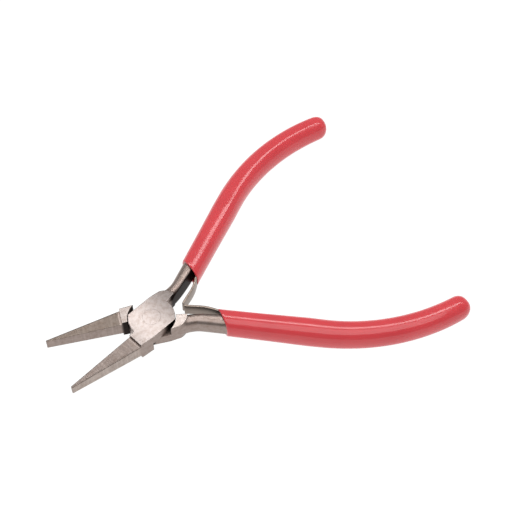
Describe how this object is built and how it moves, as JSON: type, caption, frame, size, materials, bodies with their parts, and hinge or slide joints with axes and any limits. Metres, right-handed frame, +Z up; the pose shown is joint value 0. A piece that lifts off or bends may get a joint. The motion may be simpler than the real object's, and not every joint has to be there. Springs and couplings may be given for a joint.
{
  "type": "flat nose pliers",
  "caption": "Small spring-loaded flat nose pliers with a lap joint, tapered smooth jaws and bowed handles in a glossy red dip.",
  "frame": {"origin": "on the pivot axis, in the flat underside of the joint", "axes": "+X along the tool from the pivot towards the handles, +Y to the left of that, +Z up along the pivot axis; at rest the tool is symmetric about X when turned over"},
  "size_m": [0.1201, 0.0922, 0.0084],
  "materials": {
    "ground_steel": "satin ground, cross grain on the jaws",
    "rivet_steel": "ground flush",
    "spring_steel": "tempered, satin",
    "red_vinyl": "glossy dipped vinyl"
  },
  "bodies": {
    "lower": {"lower_half": "ground_steel", "pivot_rivet": "rivet_steel", "lower_grip": "red_vinyl", "lower_leaf_rivet": "rivet_steel"},
    "upper": {"upper_half": "ground_steel", "upper_grip": "red_vinyl", "upper_leaf_rivet": "rivet_steel"},
    "upper_leaf": {"upper_leaf_spring": "spring_steel"},
    "lower_leaf": {"lower_leaf_spring": "spring_steel"}
  },
  "joints": [
    {"name": "pivot", "type": "hinge", "parent": "lower", "child": "upper", "pos_m": [0, 0, 0.0035], "axis": [0, 0, 1], "range_deg": [-31.3, 6], "stiffness_Nm_per_rad": 0.4},
    {"name": "upper_leaf_flex", "type": "hinge", "parent": "upper", "child": "upper_leaf", "pos_m": [0.02594, 0.01387, 0.0035], "axis": [0, 0, 1], "range_deg": [-9.3, 1.9]},
    {"name": "lower_leaf_flex", "type": "hinge", "parent": "lower", "child": "lower_leaf", "pos_m": [0.02594, -0.01387, 0.0035], "axis": [0, 0, 1], "range_deg": [-1.9, 9.3]}
  ],
  "couplings": [
    {"joint": "upper_leaf_flex", "follows": "pivot", "ratio": 0.29686},
    {"joint": "lower_leaf_flex", "follows": "pivot", "ratio": -0.29686}
  ]
}
